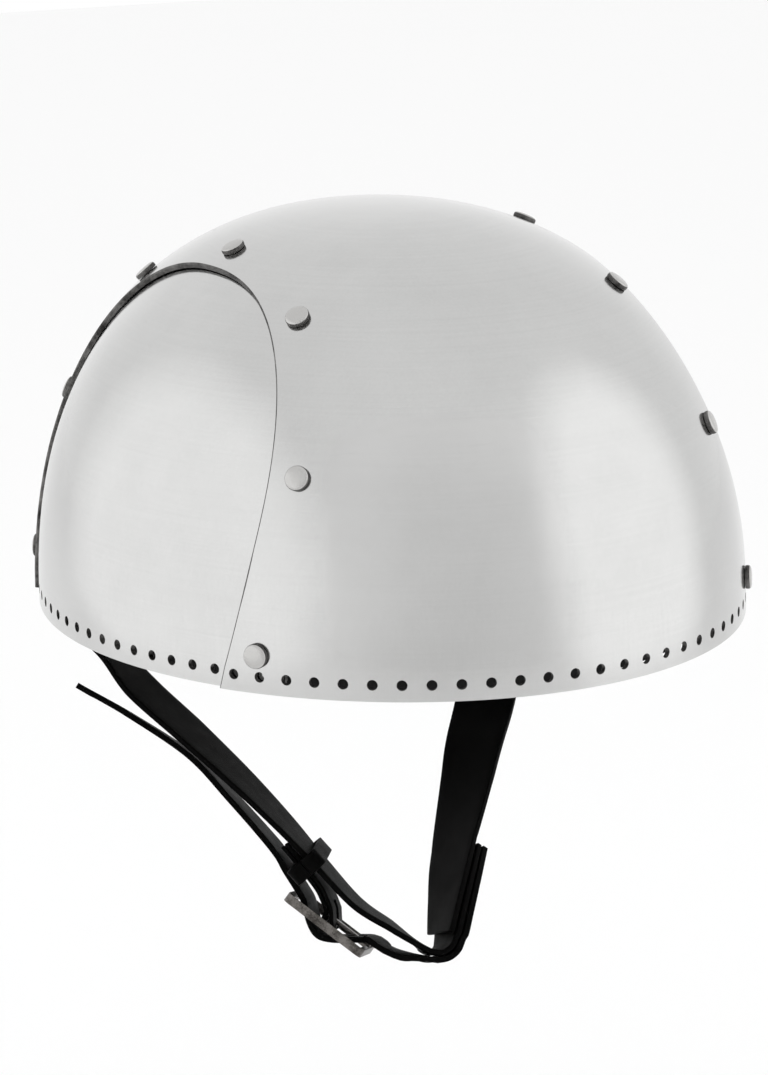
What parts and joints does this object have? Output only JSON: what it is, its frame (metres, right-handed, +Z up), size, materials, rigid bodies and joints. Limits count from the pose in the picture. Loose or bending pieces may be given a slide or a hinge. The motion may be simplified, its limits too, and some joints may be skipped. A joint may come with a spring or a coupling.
{
  "type": "open steel helmet with chin strap",
  "caption": "Low round open helmet of polished steel: a broad crown band over riveted side plates, a pierced rim, and a buckled black leather chin strap hanging below.",
  "frame": {"origin": "Middle of the rim's plane, under the crown", "axes": "+Z up, -Y the way the wearer faces, +X the wearer's left"},
  "size_m": [0.2054, 0.2388, 0.2392],
  "materials": {
    "polished_steel": "polished, with fine brush lines",
    "plate_steel": "polished, with fine brush lines",
    "rivet_steel": "polished, hammered",
    "black_leather": "smooth grain outside, rough inside",
    "buckle_steel": "aged, satin"
  },
  "bodies": {
    "root": {"crown_band": "polished_steel", "side_plate_right": "plate_steel", "side_plate_left": "plate_steel", "rivet_right_1": "rivet_steel", "rivet_right_2": "rivet_steel", "rivet_right_3": "rivet_steel", "rivet_right_4": "rivet_steel", "rivet_right_5": "rivet_steel", "rivet_right_6": "rivet_steel", "rivet_right_7": "rivet_steel", "rivet_left_1": "rivet_steel", "rivet_left_2": "rivet_steel", "rivet_left_3": "rivet_steel", "rivet_left_4": "rivet_steel", "rivet_left_5": "rivet_steel", "rivet_left_6": "rivet_steel", "rivet_left_7": "rivet_steel", "chin_strap_right": "black_leather", "chin_strap_left": "black_leather", "chin_strap_long": "black_leather", "keeper_loop": "black_leather", "buckle_chape": "black_leather", "buckle_frame": "buckle_steel", "buckle_prong": "buckle_steel"}
  },
  "joints": []
}
